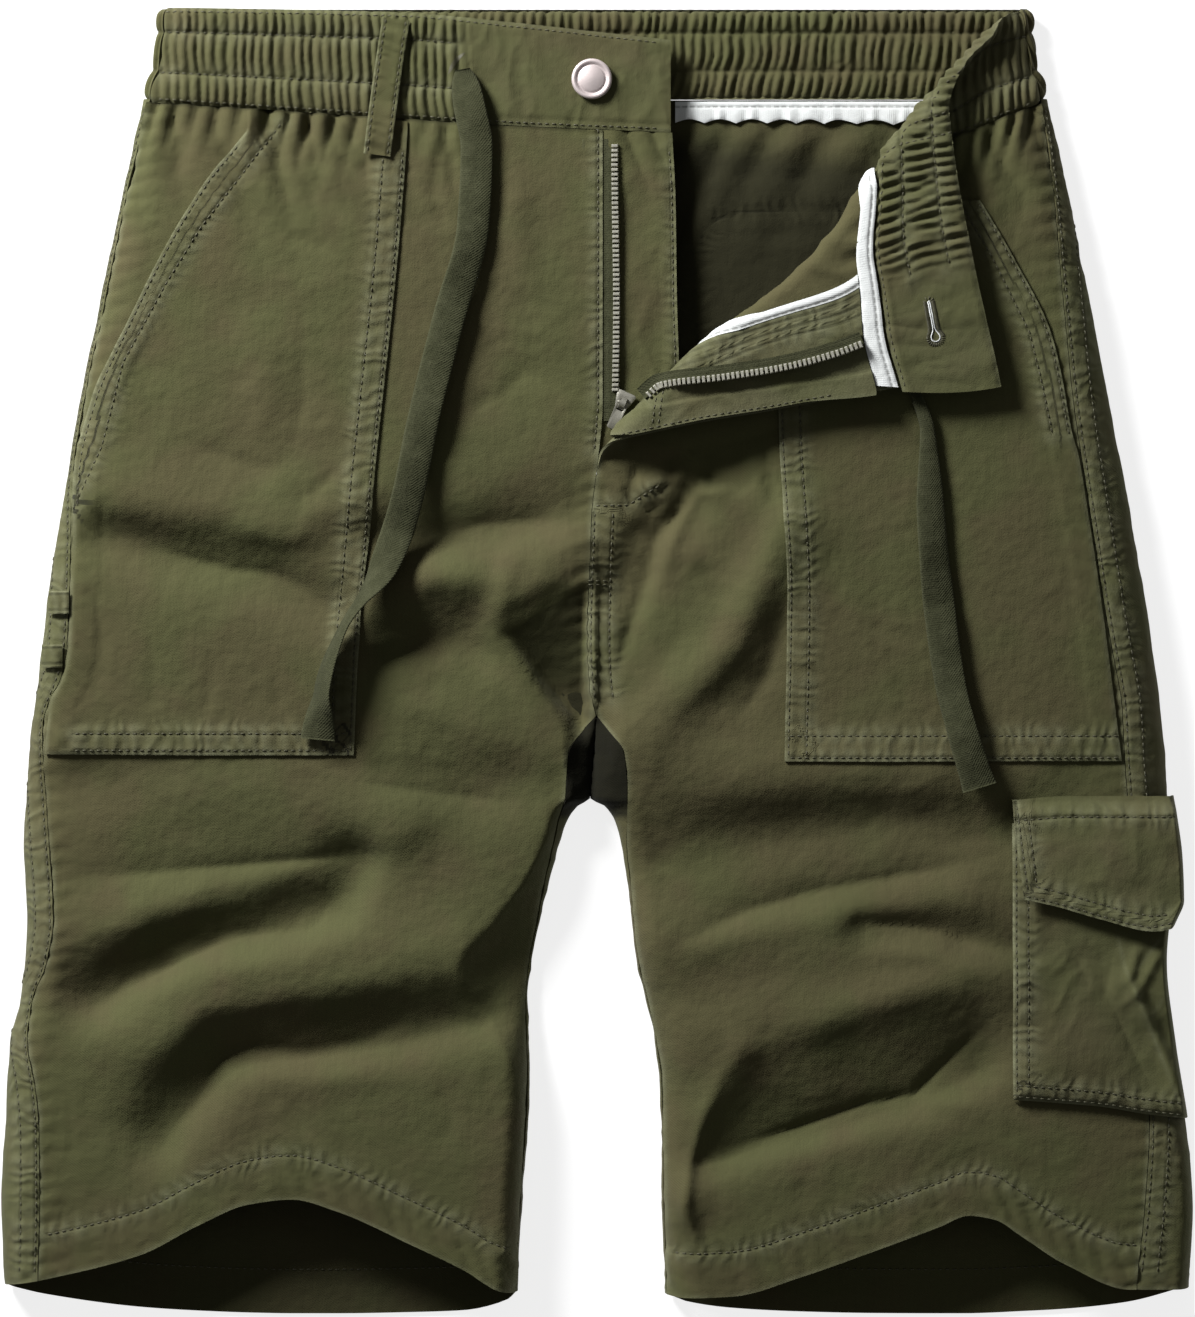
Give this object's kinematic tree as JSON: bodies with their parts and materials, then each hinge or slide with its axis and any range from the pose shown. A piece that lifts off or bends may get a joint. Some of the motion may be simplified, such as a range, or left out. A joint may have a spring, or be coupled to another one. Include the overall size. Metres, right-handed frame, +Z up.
{
  "type": "cargo shorts",
  "caption": "Cotton twill cargo shorts laid flat on their back, elastic waistband, open zip fly with one corner folded back, free drawstring ends.",
  "frame": {"origin": "centre of the rest surface under the garment as laid out", "axes": "+X to the wearer's left, +Y to the waist, +Z up off the surface"},
  "size_m": [0.4985, 0.5477, 0.0304],
  "materials": {
    "twill": "garment-dyed olive cotton twill, matt, washed paler along the seams",
    "webbing": "flat woven cotton tape, dark olive, matt",
    "white_tape": "white woven seam tape, matt",
    "nickel": "nickel plate, dull shine, slightly warm"
  },
  "bodies": {
    "garment": {"front_right": "twill", "front_left": "twill", "back_right": "twill", "back_left": "twill", "back_pocket": "twill", "waistband_right": "twill", "waistband_left": "twill", "waistband_back": "twill", "belt_loop": "twill", "pocket_right": "twill", "pocket_left": "twill", "cargo_pocket": "twill", "cargo_flap": "twill", "side_loop_upper": "twill", "side_loop_lower": "twill", "fly_facing": "twill", "fly_shield": "twill", "drawstring_right": "webbing", "drawstring_left": "webbing", "zip_tape_right": "webbing", "zip_tape_left": "webbing", "facing_tape": "white_tape", "waist_tape_left": "white_tape", "waist_tape_back": "white_tape", "zip_slider": "nickel", "button": "nickel"},
    "zip_pull": {"zip_pull_tab": "nickel"}
  },
  "joints": [
    {"name": "pull_tab_hinge", "type": "hinge", "parent": "garment", "child": "zip_pull", "pos_m": [0.011, 0.1075, 0.01725], "axis": [-0.9092, 0.4163, 0], "range_deg": [0, 180]}
  ]
}
